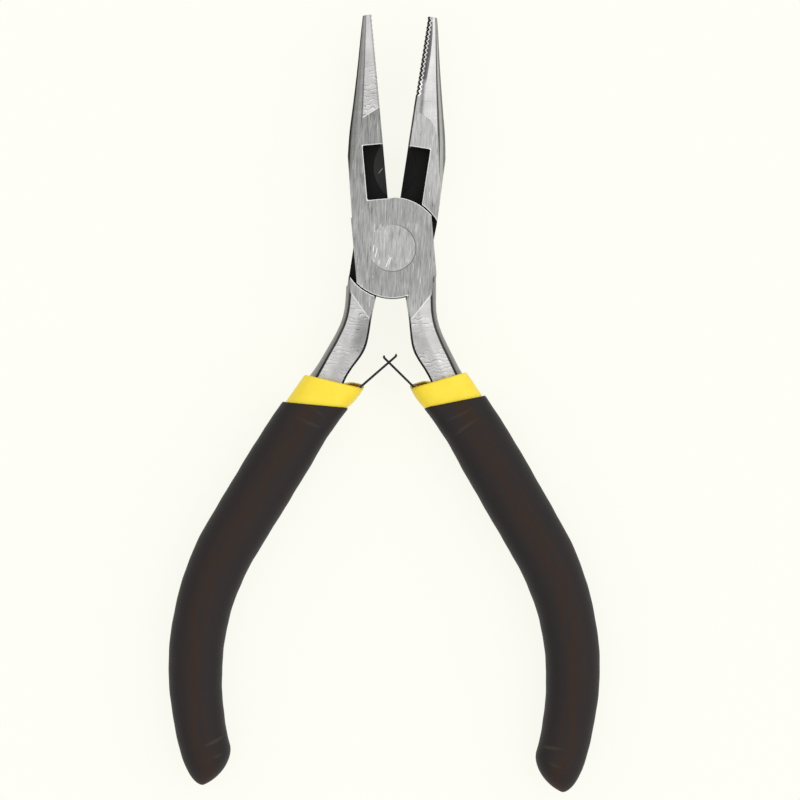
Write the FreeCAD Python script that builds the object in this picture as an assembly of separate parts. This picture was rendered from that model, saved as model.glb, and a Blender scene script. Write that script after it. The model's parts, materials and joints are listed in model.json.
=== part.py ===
import FreeCAD, Part
import math
import os

V = FreeCAD.Vector
Z = V(0, 0, 1)

# The lap-joint forging.  Lengths in mm, angles in degrees.  A half is drawn with the pliers closed:
# pivot at the origin, tips along +Y, its jaw on -X and its tang and handle on +X.
HALF_THICKNESS = 4.3          # mid-plane to ground face
LAP_GAP = 0.02                # each plate's clearance to the mid-plane
GRIP_FACE_GAP = 0.02          # each inner jaw face's clearance to the closing plane
TIP_Y = 37.6
TIP_HALF_THICKNESS = 1.1
NOSE_RISE = 0.215             # nose half-thickness gained per mm from the tip
# Nose section, from the ridge to the half-round outer band: shares of the jaw width and of the
# half-thickness.  The front side has its step at the ridge, the back side just before the band.
NOSE_FRONT = [(0.60, 0.92), (0.66, 0.81), (0.84, 0.70)]
NOSE_BACK = [(0.60, 0.92), (0.79, 0.83), (0.835, 0.67)]
NOSE_WIDTHS = [(7.0, 7.5), (10.5, 6.95), (14.0, 6.25), (18.0, 5.6), (22.0, 4.75),
               (26.0, 3.85), (30.0, 3.0), (34.0, 2.2), (37.6, 1.45)]
JAW_SIDE = [(-1.0, 6.15), (5.0, 6.2), (12.0, 6.05), (15.5, 6.0), (20.0, 6.6), (40.0, 6.6)]

JAW_FULLNESS = {"front": 0.965, "rear": 1.04}   # the two forgings' jaws, relative to the drawing

PLATE_TOP_R = 8.1             # front plate's upper and lower arcs about the pivot
PLATE_LOW_R = 7.95
SHOULDER_TOP_R = 8.32         # the other half's shoulders just outside them
SHOULDER_LOW_R = 8.17
PLATE_JAW_SIDE = 6.15
TANG_SIDE = {"front": 6.65, "rear": 6.2}

TOOTH_PITCH = 0.75
TOOTH_DEPTH = 0.3
TOOTH_END_DEPTH = 0.1         # depth left where the grooves run out at the front edge
TOOTH_LAND = 0.5              # how far from that edge the full depth ends
TOOTH_COUNT = 17
FIRST_TOOTH_Y = 25.0

# Chamfer of the toothed edge on the half's back face: distance along the jaw and width
NOSE_BEVEL = [(26.6, 0.05), (27.5, 1.12), (33.0, 1.18), (38.0, 0.66)]
NOSE_BEVEL_SLOPE = 0.5

# Recess beside the side-cutting blade: width, lower end and upper end on each side of the blade
POCKET = {"front": (3.3, 7.92, 16.65), "back": (3.62, 7.0, 16.45)}
BLADE_HALF = 1.3              # half-thickness of the blade web
EDGE_HALF = 0.12              # half-thickness left at the cutting edge
BEVEL_WIDTH = 1.85
BEVEL_R = 5.85

# Tang stations: inner point, outer point, half-thickness at the inner edge and at the groove
TANG = [(1.7, -4.0, 6.9, -4.0, 5.5, 5.0), (1.75, -9.0, 6.2, -9.0, 4.75, 4.1),
        (1.9, -12.2, 6.2, -12.2, 4.2, 3.7), (1.95, -15.6, 7.15, -15.3, 3.8, 3.35),
        (3.15, -18.6, 8.2, -18.1, 3.45, 3.05), (4.6, -21.8, 9.35, -20.8, 3.2, 2.8),
        (4.95, -24.2, 10.5, -22.9, 3.1, 2.7), (5.6, -27.2, 11.9, -25.8, 3.0, 2.7)]
# The same inside the handle: distance along the handle, half-width, half-thickness
TANG_CORE = [(1.5, 2.75, 2.8), (10.0, 2.6, 2.8), (24.0, 2.4, 2.6), (40.0, 2.1, 2.4), (54.0, 1.6, 1.9)]
TANG_STEP = 2.6
GROOVE_AT = 0.84              # the step before the tang's round band: place, width and depth
GROOVE_WIDTH = 0.035
GROOVE_STEP = 0.4

# Pivot rivet, flush with both ground faces
RIVET_HEAD_R = 3.74
RIVET_SHANK_R = 2.5
RIVET_HEAD_EDGE = 0.3
RIVET_CONE = 1.2
RIVET_PLAY = 0.04

# Handle centreline: a straight run from this point, then an arc turning inward
HANDLE_X = 10.3
HANDLE_Y = -30.0
HANDLE_LEAN = 23.3
HANDLE_STRAIGHT = 20.7
HANDLE_ARC_R = 42.6
SPLAY = {"front": 1.35, "rear": -0.75}  # how far each handle is bent out about SPLAY_POINT
SPLAY_POINT = (8.0, -25.0)

# Dipped grip outline: distance along the handle, outer width, inner width, half-thickness
GRIP = [(-12.0, 3.4, 5.7, 4.55), (-8.5, 3.9, 5.45, 4.65), (-4.0, 4.28, 4.95, 4.7),
        (0.0, 4.5, 4.66, 4.8), (5.0, 4.7, 4.74, 4.9), (12.0, 4.8, 4.8, 4.9),
        (21.0, 4.68, 4.68, 4.8), (31.0, 4.52, 4.52, 4.65), (41.0, 4.32, 4.32, 4.5),
        (50.0, 4.12, 4.12, 4.3), (56.3, 4.15, 3.85, 4.1)]
GRIP_STEP = 2.5
SQUARENESS = [(-12.0, 0.55), (-6.0, 0.62), (4.0, 0.84), (20.0, 0.86)]   # 1 is an ellipse
GRIP_COAT = 0.45              # thickness of the dark outer coat over the yellow one
# The yellow coat's own outline at the collar, where it stands out round the mouth
COLLAR = [(-12.5, 3.0, 5.45, 4.15), (-9.5, 3.4, 5.6, 4.2), (-7.4, 3.6, 5.35, 4.22),
          (-5.6, 3.72, 4.8, 4.24)]
GRIP_END = 5.1                # length of the rounded end past the last station
GRIP_END_SKEW = 2.3           # how far the end leans to the outer side
# Dip levels in the closed frame: inner and outer end of each coat's top edge
COLLAR_TOP = {"front": ((1.62, -22.4), (9.92, -20.61)), "rear": ((1.6, -22.8), (10.42, -21.92))}
COAT_TOP = {"front": ((2.98, -25.86), (12.63, -24.65)), "rear": ((2.91, -26.36), (13.27, -26.75))}

# Leaf springs, one on each tang, crossing between them
LEAF_ROOT = (1.66, -22.6)     # where the leaf leaves the collar's mouth
LEAF_LEAN = 40.3
LEAF_THICKNESS = 0.35
LEAF_HALF_WIDTH = 2.4
LEAF_BEND = 5.6               # below the root: top of the foot that lies on the tang
LEAF_FOOT = 10.2
LEAF_LENGTH = {"front": 7.4, "rear": 7.85}
SLOT = (5.3, 6.95, 1.35)      # window in the right leaf: start, end, half-width
TONGUE = (5.68, 1.0)          # tongue of the left leaf: start, half-width
SPRING_RIVET_AT = 8.2
SPRING_RIVET_R = 0.7
SPRING_RIVET_HEAD = (1.25, 0.55)
SPRING_RIVET_DEPTH = 2.2
MOUTH_HALF_WIDTH = 2.75

# Rest pose
OPENING = 13.8                # angle between the two jaw faces
PIVOT = V(-0.79, 24.72, 4.9)


def leaf_point(along, across=0.0):
    """Point by distance up the leaf from its root, and across it towards the tang."""
    lean = math.radians(LEAF_LEAN)
    x = LEAF_ROOT[0] - math.sin(lean) * along + math.cos(lean) * across
    y = LEAF_ROOT[1] + math.cos(lean) * along + math.sin(lean) * across
    return V(x, y, 0)


def prism(points, low, high):
    """Upright prism over a closed outline of (x, y) points or vectors."""
    corners = [V(p[0], p[1], low) for p in points]
    face = Part.Face(Part.makePolygon(corners + corners[:1]))
    return face.extrude(V(0, 0, high - low))


def nose_section(y, width):
    """D-shaped section of the nose: flat inner face, facets with a step, then the round outer band."""
    half = TIP_HALF_THICKNESS + NOSE_RISE * (TIP_Y - y)
    front = [V(0.5, y, half)] + [V(-x * width, y, z * half) for x, z in NOSE_FRONT]
    back = [V(0.5, y, -half)] + [V(-x * width, y, -z * half) for x, z in NOSE_BACK]
    edges = [Part.makeLine(back[0], front[0])]
    edges += [Part.makeLine(a, b) for a, b in zip(front, front[1:])]
    edges.append(Part.Arc(front[-1], V(-width, y, 0), back[-1]).toShape())
    edges += [Part.makeLine(a, b) for a, b in zip(back[::-1], back[-2::-1])]
    return Part.Wire(edges)


def jaw(fullness):
    """Forged nose, cut to the outline at its root and ground flat to the joint's faces."""
    raw = Part.makeLoft([nose_section(y, w * fullness) for y, w in NOSE_WIDTHS], True)
    side = [(-w * fullness, y) for y, w in JAW_SIDE[1:]] + [(-JAW_SIDE[0][1], JAW_SIDE[0][0])]
    side.sort(key=lambda point: point[1])
    outline = [(-GRIP_FACE_GAP, 40.0), (-GRIP_FACE_GAP, -1.0)] + side
    root = prism([(-GRIP_FACE_GAP, -1.0), (-GRIP_FACE_GAP, 7.5), (-6.5, 7.5), (-6.5, -1.0)],
                 -HALF_THICKNESS, HALF_THICKNESS)
    blank = raw.fuse(root)
    return blank.common(prism(outline, -HALF_THICKNESS, HALF_THICKNESS))


def handle_station(s, splay):
    """Point on the handle's centreline and the unit vector across it, outward."""
    lean = math.radians(HANDLE_LEAN)
    straight = min(s, HANDLE_STRAIGHT)
    x = HANDLE_X + math.sin(lean) * straight
    y = HANDLE_Y - math.cos(lean) * straight
    if s > HANDLE_STRAIGHT:
        turned = lean - (s - HANDLE_STRAIGHT) / HANDLE_ARC_R
        x += HANDLE_ARC_R * (math.cos(turned) - math.cos(lean))
        y -= HANDLE_ARC_R * (math.sin(lean) - math.sin(turned))
        lean = turned
    bend = FreeCAD.Rotation(Z, splay)
    centre = V(SPLAY_POINT[0], SPLAY_POINT[1], 0)
    point = centre + bend.multVec(V(x, y, 0) - centre)
    return point, bend.multVec(V(math.cos(lean), math.sin(lean), 0))


def tang_section(inner, outer, inner_half, groove_half):
    """Section of the tang: nearly flat faces, a groove line, then a half-round outer band."""
    across = outer - inner
    groove = inner + across * GROOVE_AT
    bulge = inner - across * 0.06
    front = [inner + Z * inner_half, groove + Z * groove_half,
             groove + across * GROOVE_WIDTH + Z * (groove_half - GROOVE_STEP)]
    back = [V(p.x, p.y, -p.z) for p in front]
    edges = [Part.Arc(back[0], bulge, front[0]).toShape()]
    edges += [Part.makeLine(a, b) for a, b in zip(front, front[1:])]
    edges.append(Part.Arc(front[-1], outer, back[-1]).toShape())
    edges += [Part.makeLine(a, b) for a, b in zip(back[::-1], back[-2::-1])]
    return Part.Wire(edges)


def read_off(rows, x):
    """Values of a table's columns at x, by a cubic that doesn't overshoot its stations."""
    k = 0
    while k < len(rows) - 2 and x > rows[k + 1][0]:
        k += 1
    span = rows[k + 1][0] - rows[k][0]
    t = (x - rows[k][0]) / span
    values = []
    for c in range(1, len(rows[0])):
        rise = [(b[c] - a[c]) / (b[0] - a[0]) for a, b in zip(rows, rows[1:])]
        slopes = []
        for j in (k, k + 1):
            before, after = rise[max(j - 1, 0)], rise[min(j, len(rise) - 1)]
            slopes.append(0 if before * after <= 0 else 2 * before * after / (before + after))
        start, end = rows[k][c], rows[k + 1][c]
        values.append(start * (1 + 2 * t) * (1 - t) ** 2 + end * t * t * (3 - 2 * t)
                      + span * (slopes[0] * t * (1 - t) ** 2 - slopes[1] * t * t * (1 - t)))
    return values


def even_steps(low, high, step):
    count = max(1, round((high - low) / step))
    return [low + (high - low) * k / count for k in range(count + 1)]


def tang(splay):
    """Tang from the joint down to the end of its core inside the handle."""
    stations = list(TANG)
    for s, half_width, half in TANG_CORE:
        point, across = handle_station(s, splay)
        inner, outer = point - across * half_width, point + across * half_width
        stations.append((inner.x, inner.y, outer.x, outer.y, half, half * 0.9))
    rows = [(0.0,) + stations[0]]
    for before, after in zip(stations, stations[1:]):
        run = math.hypot((after[0] + after[2] - before[0] - before[2]) / 2,
                         (after[1] + after[3] - before[1] - before[3]) / 2)
        rows.append((rows[-1][0] + run,) + after)
    sections = []
    for along in even_steps(0.0, rows[-1][0], TANG_STEP):
        xi, yi, xo, yo, inner_half, groove_half = read_off(rows, along)
        sections.append(tang_section(V(xi, yi, 0), V(xo, yo, 0), inner_half, groove_half))
    raw = Part.makeLoft(sections, True)
    slab = Part.makeBox(60, 100, 2 * HALF_THICKNESS, V(-10, -100, -HALF_THICKNESS))
    seat = [leaf_point(-4.5, LEAF_THICKNESS / 2), leaf_point(-LEAF_FOOT - 0.2, LEAF_THICKNESS / 2),
            leaf_point(-LEAF_FOOT - 0.2, -4), leaf_point(-4.5, -4)]
    return raw.common(slab).cut(prism(seat, -6, 6))


def half_disc(radius, upper, low, high):
    disc = Part.makeCylinder(radius, high - low, V(0, 0, low))
    keep = Part.makeBox(40, 20, high - low, V(-20, 0 if upper else -20, low))
    return disc.common(keep)


def lap_disc(top_r, low_r, low, high):
    return half_disc(top_r, True, low, high).fuse(half_disc(low_r, False, low, high))


def plate():
    """The half's own lap plate, on the front side of the mid-plane."""
    disc = lap_disc(PLATE_TOP_R, PLATE_LOW_R, LAP_GAP, HALF_THICKNESS)
    return disc.common(Part.makeBox(20, 20, 10, V(-PLATE_JAW_SIDE, -10, -1)))


def teeth(depth, land):
    """V grooves across the inner jaw face, from its back edge to a land's width from its front edge."""
    cuts = []
    for k in range(TOOTH_COUNT):
        y = FIRST_TOOTH_Y + k * TOOTH_PITCH
        x = -GRIP_FACE_GAP
        top = TIP_HALF_THICKNESS + NOSE_RISE * (TIP_Y - y) - land
        groove = [(x + 0.01, y - TOOTH_PITCH / 2), (x - depth, y), (x + 0.01, y + TOOTH_PITCH / 2)]
        cuts.append(prism(groove, -6, top))
    return Part.makeCompound(cuts)


def cutter_pocket(side):
    """Recess in front of the blade web, with the bevel ground down to the cutting edge."""
    width, low_y, top_y = POCKET[side]
    box = Part.makeBox(width + 1, top_y - low_y, 6, V(-width, low_y, BLADE_HALF))
    corners = [e for e in box.Edges if abs(e.BoundBox.ZLength) > 5 and e.BoundBox.XMax < 0]
    box = box.makeFillet(0.3, corners)
    slope = (BLADE_HALF - EDGE_HALF) / BEVEL_WIDTH
    wedge = [V(-BEVEL_WIDTH, 8, BLADE_HALF), V(1, 8, EDGE_HALF - slope), V(1, 8, 3), V(-BEVEL_WIDTH, 8, 3)]
    face = Part.Face(Part.makePolygon(wedge + wedge[:1]))
    bevel = face.extrude(V(0, 9.2, 0))
    wheel = Part.makeCylinder(BEVEL_R, 10, V(BEVEL_R - BEVEL_WIDTH, 12.7, -1))
    return box.fuse(bevel.common(wheel))


def nose_bevel():
    """Wedge that chamfers the toothed edge on the half's back face, down from the jaw's facet."""
    wires = []
    ridge_at, ridge_height = NOSE_BACK[0]
    for y, width in NOSE_BEVEL:
        half = TIP_HALF_THICKNESS + NOSE_RISE * (TIP_Y - y)
        jaw_width = read_off(NOSE_WIDTHS, min(y, TIP_Y))[0]
        top = -half * (1 - (1 - ridge_height) * width / (ridge_at * jaw_width))
        corners = [V(-width, y, top), V(0.4, y, top + NOSE_BEVEL_SLOPE * (width + 0.4)),
                   V(0.4, y, -half - 1.5), V(-width, y, -half - 1.5)]
        wires.append(Part.makePolygon(corners + corners[:1]))
    return Part.makeLoft(wires, True, True)


def rivet_profile(play):
    """Turned outline of the pivot rivet, grown by the running clearance."""
    top = HALF_THICKNESS
    edge = top - RIVET_HEAD_EDGE
    head, shank = RIVET_HEAD_R + play, RIVET_SHANK_R + play
    points = [V(0, 0, top), V(head, 0, top), V(head, 0, edge - play), V(shank, 0, edge - RIVET_CONE),
              V(shank, 0, RIVET_CONE - edge), V(head, 0, play - edge), V(head, 0, -top), V(0, 0, -top)]
    face = Part.Face(Part.makePolygon(points + points[:1]))
    return face.revolve(V(0, 0, 0), Z, 360)


def forged_half(kind):
    """One forged half: jaw, lap plate and tang in one solid, with its cut features."""
    body = jaw(JAW_FULLNESS[kind]).fuse(tang(SPLAY[kind])).fuse(plate())
    body = body.cut(Part.makeBox(5, 15, 12, V(TANG_SIDE[kind], -7.0, -6)))
    body = body.cut(lap_disc(SHOULDER_TOP_R, SHOULDER_LOW_R, -6, LAP_GAP))
    body = body.cut(teeth(TOOTH_DEPTH, TOOTH_LAND)).cut(teeth(TOOTH_END_DEPTH, -2.0))
    body = body.cut(cutter_pocket("front"))
    body = body.cut(cutter_pocket("back").mirror(V(0, 0, 0), Z))
    body = body.cut(nose_bevel())
    body = body.cut(rivet_profile(0 if kind == "front" else RIVET_PLAY))
    body = body.cut(spring_rivet())
    return body.removeSplitter()


def oval(s, outer, inner, half, splay):
    """Rounded section across the handle, squarest at the collar."""
    power = read_off(SQUARENESS, min(max(s, SQUARENESS[0][0]), SQUARENESS[-1][0]))[0]
    point, across = handle_station(s, splay)
    centre = point + across * ((outer - inner) / 2)
    half_width = (outer + inner) / 2
    points = []
    for k in range(20):
        turn = 2 * math.pi * k / 20
        c, n = math.cos(turn), math.sin(turn)
        u = math.copysign(abs(c) ** power, c)
        w = math.copysign(abs(n) ** power, n)
        points.append(centre + across * (half_width * u) + Z * (half * w))
    curve = Part.BSplineCurve()
    curve.interpolate(points, PeriodicFlag=True)
    return Part.Wire(curve.toShape())


def coat_body(rows, end, splay):
    """Solid dipped handle from a table of stations, with a rounded end of the given length."""
    sections = []
    for s in even_steps(rows[0][0], rows[-1][0], GRIP_STEP):
        outer, inner, half = read_off(rows, s)
        sections.append(oval(s, outer, inner, half, splay))
    for turn in (20, 38, 54, 68, 79, 86):
        c, n = math.cos(math.radians(turn)), math.sin(math.radians(turn))
        skew = GRIP_END_SKEW * (1 - c)
        s = rows[-1][0] + end * n
        sections.append(oval(s, outer * c + skew, inner * c - skew, half * c, splay))
    return Part.makeLoft(sections, True)


def below(line):
    """Everything below a dip level, which tilts a little in the closed frame."""
    (x0, y0), (x1, y1) = line
    slope = (y1 - y0) / (x1 - x0)
    left, right = -20.0, 60.0
    return prism([(left, y0 + slope * (left - x0)), (right, y0 + slope * (right - x0)),
                  (right, -120), (left, -120)], -8, 8)


def mouth():
    """Space that the leaf spring sweeps inside the sleeve, open at the collar's top."""
    outline = [leaf_point(3.0, -0.4), leaf_point(-LEAF_BEND, -0.4), leaf_point(-LEAF_BEND - 1.2, -0.95),
               leaf_point(-LEAF_FOOT - 0.3, -0.95), leaf_point(-LEAF_FOOT - 0.3, 0.3),
               leaf_point(-LEAF_BEND - 1.0, 1.6), V(6.5, -24.0, 0), V(6.0, -20.0, 0)]
    return prism(outline, -MOUTH_HALF_WIDTH, MOUTH_HALF_WIDTH)


def outer_coat(kind, filling):
    return coat_body(GRIP, GRIP_END, SPLAY[kind]).common(below(COAT_TOP[kind])).cut(filling)


def yellow_filling(kind):
    """The yellow coat's outside, one coat's thickness below the grip's."""
    rows = COLLAR + [(s, o - GRIP_COAT, i - GRIP_COAT, h - GRIP_COAT) for s, o, i, h in GRIP[2:]]
    return coat_body(rows, GRIP_END - GRIP_COAT, SPLAY[kind])


def inner_sleeve(filling, kind, half):
    body = filling.common(below(COLLAR_TOP[kind])).cut(half)
    return body.cut(mouth()).cut(spring_rivet())


def ribbon(points, half_width):
    """Strip of leaf steel that follows a path in the XY plane."""
    left, right = [], []
    for k, point in enumerate(points):
        before = points[max(k - 1, 0)]
        after = points[min(k + 1, len(points) - 1)]
        run = (after - before).normalize()
        across = V(-run.y, run.x, 0) * (LEAF_THICKNESS / 2)
        left.append(point + across)
        right.append(point - across)
    return prism(left + right[::-1], -half_width, half_width)


def leaf_spring(kind):
    """Flat leaf: foot on the tang, blade, then a window or a tongue that crosses the other leaf."""
    end = LEAF_LENGTH[kind]
    path = [leaf_point(-LEAF_FOOT), leaf_point(end - 0.5), leaf_point(end, 0.16)]
    leaf = ribbon(path, LEAF_HALF_WIDTH)
    if kind == "front":
        start, stop, half_width = SLOT
        corners = [leaf_point(start, -1), leaf_point(stop, -1), leaf_point(stop, 1), leaf_point(start, 1)]
        leaf = leaf.cut(prism(corners, -half_width, half_width))
    else:
        start, half_width = TONGUE
        for low, high in ((-6, -half_width), (half_width, 6)):
            corners = [leaf_point(start, -1), leaf_point(12, -1), leaf_point(12, 1), leaf_point(start, 1)]
            leaf = leaf.cut(prism(corners, low, high))
    return leaf.cut(spring_rivet())


def spring_rivet():
    """Small rivet that holds the leaf's foot down on its seat."""
    lean = math.radians(LEAF_LEAN)
    axis = V(math.cos(lean), math.sin(lean), 0)
    radius, height = SPRING_RIVET_HEAD
    head_at = leaf_point(-SPRING_RIVET_AT, -LEAF_THICKNESS / 2 - height)
    head = Part.makeCylinder(radius, height, head_at, axis)
    head = head.makeFillet(0.25, [head.Edges[2]])
    shank = Part.makeCylinder(SPRING_RIVET_R, height + SPRING_RIVET_DEPTH, head_at, axis)
    return head.fuse(shank).removeSplitter()


def pose(shape, kind):
    """From the closed frame of its half to the rest pose of the pliers."""
    turned = shape.copy()
    angle = OPENING / 2
    if kind == "rear":
        turned.rotate(V(0, 0, 0), V(0, 1, 0), 180)
        angle = -angle
    turned.rotate(V(0, 0, 0), Z, angle)
    turned.translate(PIVOT)
    return turned


def build():
    parts = {}
    for kind, side in (("front", "right"), ("rear", "left")):
        half = forged_half(kind)
        filling = yellow_filling(kind)
        coat = outer_coat(kind, filling)
        sleeve = inner_sleeve(filling, kind, half)
        parts[kind + "_half"] = pose(half, kind)
        parts[side + "_inner_sleeve"] = pose(sleeve, kind)
        parts[side + "_outer_grip"] = pose(coat, kind)
        parts[side + "_leaf_spring"] = pose(leaf_spring(kind), kind)
        parts[side + "_spring_rivet"] = pose(spring_rivet(), kind)
    parts["pivot_rivet"] = pose(rivet_profile(0), "front")
    return parts


os.makedirs("parts", exist_ok=True)
for name, shape in build().items():
    if len(shape.Solids) == 1:
        shape = shape.Solids[0]
    shape.exportStep("parts/" + name + ".step")
    box = shape.BoundBox
    print(name, shape.ShapeType, len(shape.Solids), shape.isValid(), round(shape.Volume, 2),
          [round(v, 2) for v in (box.XMin, box.YMin, box.ZMin, box.XMax, box.YMax, box.ZMax)])
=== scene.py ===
import json
import math

import bmesh
import bpy
from mathutils import Matrix, Vector


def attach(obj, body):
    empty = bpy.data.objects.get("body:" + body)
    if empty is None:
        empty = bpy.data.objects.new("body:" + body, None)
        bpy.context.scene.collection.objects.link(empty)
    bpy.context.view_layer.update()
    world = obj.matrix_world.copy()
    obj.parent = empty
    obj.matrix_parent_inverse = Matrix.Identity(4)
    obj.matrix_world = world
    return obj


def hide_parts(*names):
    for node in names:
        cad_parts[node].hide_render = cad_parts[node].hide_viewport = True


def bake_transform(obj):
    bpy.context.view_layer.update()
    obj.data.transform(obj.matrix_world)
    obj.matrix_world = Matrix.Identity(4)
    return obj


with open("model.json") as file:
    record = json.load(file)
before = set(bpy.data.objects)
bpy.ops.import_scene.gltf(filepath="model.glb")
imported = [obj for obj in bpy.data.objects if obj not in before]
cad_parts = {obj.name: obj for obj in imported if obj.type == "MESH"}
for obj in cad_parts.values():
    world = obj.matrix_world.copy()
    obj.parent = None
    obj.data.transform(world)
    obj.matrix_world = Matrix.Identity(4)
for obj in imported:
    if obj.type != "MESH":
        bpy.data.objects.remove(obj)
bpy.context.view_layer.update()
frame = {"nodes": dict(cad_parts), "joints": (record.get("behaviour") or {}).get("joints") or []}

MM = 0.001
joints = {joint["name"]: joint for joint in frame["joints"]}
PIVOT = Vector(joints["pivot"]["pos_m"])
HALF_OPENING = math.radians(joints["pivot"]["range_deg"][1] / 2)
KINDS = {"front": "right", "rear": "left"}          # each half and the side its handle is on
TURN = {"front": HALF_OPENING, "rear": -HALF_OPENING}
MIRROR = {"front": 1, "rear": -1}

# The same dimensions as the CAD source, in mm, in the closed frame of one half:
# pivot at the origin, tips along +Y, jaw on -X, tang and handle on +X.

# Handle: its centreline, and tables of station along it, outer side, inner side and half height
HANDLE_START = (10.3, -30.0)
HANDLE_LEAN = math.radians(23.3)
HANDLE_STRAIGHT = 20.7
HANDLE_ARC_R = 42.6
SPLAY = {"front": math.radians(1.35), "rear": math.radians(-0.75)}
SPLAY_POINT = (8.0, -25.0)
GRIP = [(-12.0, 3.4, 5.7, 4.55), (-8.5, 3.9, 5.45, 4.65), (-4.0, 4.28, 4.95, 4.7),
        (0.0, 4.5, 4.66, 4.8), (5.0, 4.7, 4.74, 4.9), (12.0, 4.8, 4.8, 4.9),
        (21.0, 4.68, 4.68, 4.8), (31.0, 4.52, 4.52, 4.65), (41.0, 4.32, 4.32, 4.5),
        (50.0, 4.12, 4.12, 4.3), (56.3, 4.15, 3.85, 4.1)]
GRIP_COAT = 0.45
COAT_GAP = 0.01                # between the two coats
COLLAR = [(-12.5, 3.0, 5.45, 4.15), (-9.5, 3.4, 5.6, 4.2), (-7.4, 3.6, 5.35, 4.22),
          (-5.6, 3.72, 4.8, 4.24)]
SQUARENESS = [(-12.0, 0.55), (-6.0, 0.62), (4.0, 0.84), (20.0, 0.86)]
GRIP_END = 5.1
GRIP_END_SKEW = 2.3
COAT_EDGE, COLLAR_EDGE = 0.27, 0.34            # height of the rounded edge at each coat's dip level
COLLAR_TOP = {"front": ((1.62, -22.4), (9.92, -20.61)), "rear": ((1.6, -22.8), (10.42, -21.92))}
COAT_TOP = {"front": ((2.98, -25.86), (12.63, -24.65)), "rear": ((2.91, -26.36), (13.27, -26.75))}

# Mouth of the collar, which the tang and the leaf spring share
HOLE_HALF = 2.72
HOLE_WALL = 0.62
HOLE_OUTER_SIDE = 1.6
HOLE_SQUARENESS = 0.62

# Leaf springs
LEAF_ROOT = (1.66, -22.6)
LEAF_LEAN = math.radians(40.3)
LEAF_THICKNESS = 0.35
LEAF_HALF_WIDTH = 2.4
LEAF_TIP = (0.5, 0.82)         # length of the rounded corners, and share of the width left at the tip
LEAF_EDGE_R = 0.07
LEAF_FOOT = 10.2
LEAF_LENGTH = {"front": 7.4, "rear": 7.85}
LEAF_STEP = 0.3
CURL_R = 0.19                  # small bend at the leaf's tip
CURL_STEPS = 6
CURL_TURN = 20                 # degrees in each step
WINDOW = (5.3, 6.95, 1.35)
TONGUE = (5.5, 1.0)            # starts just below the CAD's, so the leaves clear each other when closed

# Jaws and joint
NOSE_WIDTHS = [(7.0, 7.5), (10.5, 6.95), (14.0, 6.25), (18.0, 5.6), (22.0, 4.75),
               (26.0, 3.85), (30.0, 3.0), (34.0, 2.2), (37.6, 1.45)]
JAW_FULLNESS = {"front": 0.965, "rear": 1.04}
FRONT_STEP, BACK_STEP = 0.625, 0.812          # where the outer bands start, as shares of the jaw's width
GROOVE = [(-24.0, 9.45), (-20.9, 8.3), (-18.0, 7.25), (-15.4, 6.3), (-12.2, 5.5), (-9.0, 5.45),
          (-4.0, 6.1)]
FACE_Z = 4.3
RIVET_R = 3.74
POCKET = {"front": (3.3, 7.92, 16.65), "back": (3.62, 7.0, 16.45)}   # depth, low end and top end
PLATE_TOP_R, PLATE_LOW_R = 8.1, 7.95
SHOULDER_TOP_R, SHOULDER_LOW_R = 8.32, 8.17
CHAMFER = [(26.0, 1.3), (28.0, 1.36), (33.0, 1.3), (37.6, 0.72)]      # distance along the jaw and width
FIRST_TOOTH, TOOTH_PITCH, TOOTH_DEPTH = 25.0, 0.75, 0.3

# Surface detail
AROUND = 96                    # points round a handle
GRIP_STEP, COLLAR_STEP = 0.3, 0.6              # distance between the rings of each coat
END_RINGS = 14                 # rings round a handle's closed end
HIGHLIGHT_WIDTH = 0.09                    # width of the painted highlight line round a ground face
WRINKLE_SPACING = 0.62
CREASE_WIDTH = 0.36
CREASE_SWEEP = 6.0             # how far a slanted crease climbs, per radian round the handle
# station, angle, slant, reach and depth of each crease in the dark coat
CREASES = [(55.2, 2.1, 0.10, 0.85, 0.10), (57.5, 1.9, -0.12, 0.7, 0.08), (-1.0, 1.75, 0.12, 0.8, 0.07),
           (-3.2, 1.7, -0.08, 0.75, 0.06)]
# inset from the outside and distance below the dip level, round a coat's top edge
GRIP_RIM = [(0.46, 2.2), (0.46, 0.5), (0.44, 0.2), (0.36, 0.06), (0.25, 0.0), (0.13, 0.03), (0.04, 0.12)]
COLLAR_RIM = [(0.05, 0.16), (0.16, 0.05), (0.32, 0.0)]
# distance below the dip level and growth of the mouth, going in
MOUTH_WALL = [(0.3, 0.04), (0.5, 0.0), (1.2, 0.0), (3.0, 0.0), (6.0, 0.0), (9.5, -0.2)]
GROUND_SHADES = {"front": (-0.055, 0.075), "rear": (0.11, 0.02)}      # ground tone on the jaw and on the tang
TANG_DULL = {"front": -0.13, "rear": -0.06}
# how much darker a patch on each tang's inner side is
TANG_DARK_PATCH = {"front": 0.0, "rear": -0.16}
# place on the rivet's head, lean in degrees and half length
RIVET_SCRATCHES = [(-0.9, -2.2, 28, 0.95), (-0.55, -2.05, 24, 0.75), (-2.6, -0.5, 17, 0.9),
                   (-2.95, 0.25, 12, 0.6)]


# ---------------------------------------------------------------- geometry helpers

def place(kind, x, y, z=0.0):
    """Point of one half's closed frame, in mm, to its place at rest, in metres."""
    point = Vector((x * MIRROR[kind], y, z * MIRROR[kind])) * MM
    return Matrix.Rotation(TURN[kind], 3, "Z") @ point + PIVOT


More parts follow.
